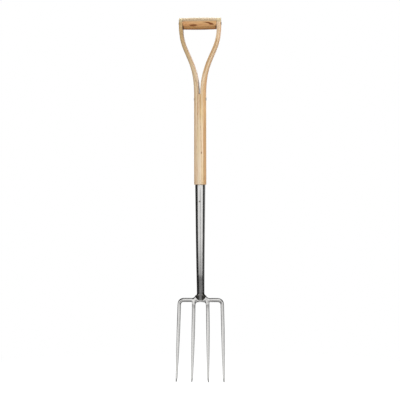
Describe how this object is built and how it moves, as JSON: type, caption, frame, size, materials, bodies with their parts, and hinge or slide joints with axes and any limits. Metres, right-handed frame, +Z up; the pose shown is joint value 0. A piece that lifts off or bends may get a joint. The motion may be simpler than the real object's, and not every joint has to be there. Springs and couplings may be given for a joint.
{
  "type": "border fork",
  "caption": "Garden border fork with a forged steel head of slender tines, a long tapered steel socket and an ash shaft split into a Y handle with a turned hand grip.",
  "frame": {"origin": "on the ground under the shaft's axis, at the level of the tines' points, with the fork upright", "axes": "+Z up along the shaft's axis towards the grip, +X to the fork's right seen from the front, -Y to the front, which the tines sweep towards"},
  "size_m": [0.1354, 0.0334, 0.9992],
  "materials": {
    "stainless_polished": "polished stainless steel, slightly soft reflections with fine grinding marks along the socket and tines",
    "rivet_steel": "plain bright rivet steel, a little dulled",
    "ash_wood": "pale ash, clear lacquer, long straight grain",
    "ash_grip": "turned ash, clear lacquer, a little darker, with the growth rings showing as long ovals"
  },
  "bodies": {
    "root": {"fork_head": "stainless_polished", "socket": "stainless_polished", "socket_rivet": "rivet_steel", "shaft": "ash_wood", "grip": "ash_grip", "grip_rivet": "rivet_steel", "grip_washer_left": "rivet_steel", "grip_washer_right": "rivet_steel", "split_rivet": "rivet_steel", "split_washer_left": "rivet_steel", "split_washer_right": "rivet_steel"}
  },
  "joints": []
}
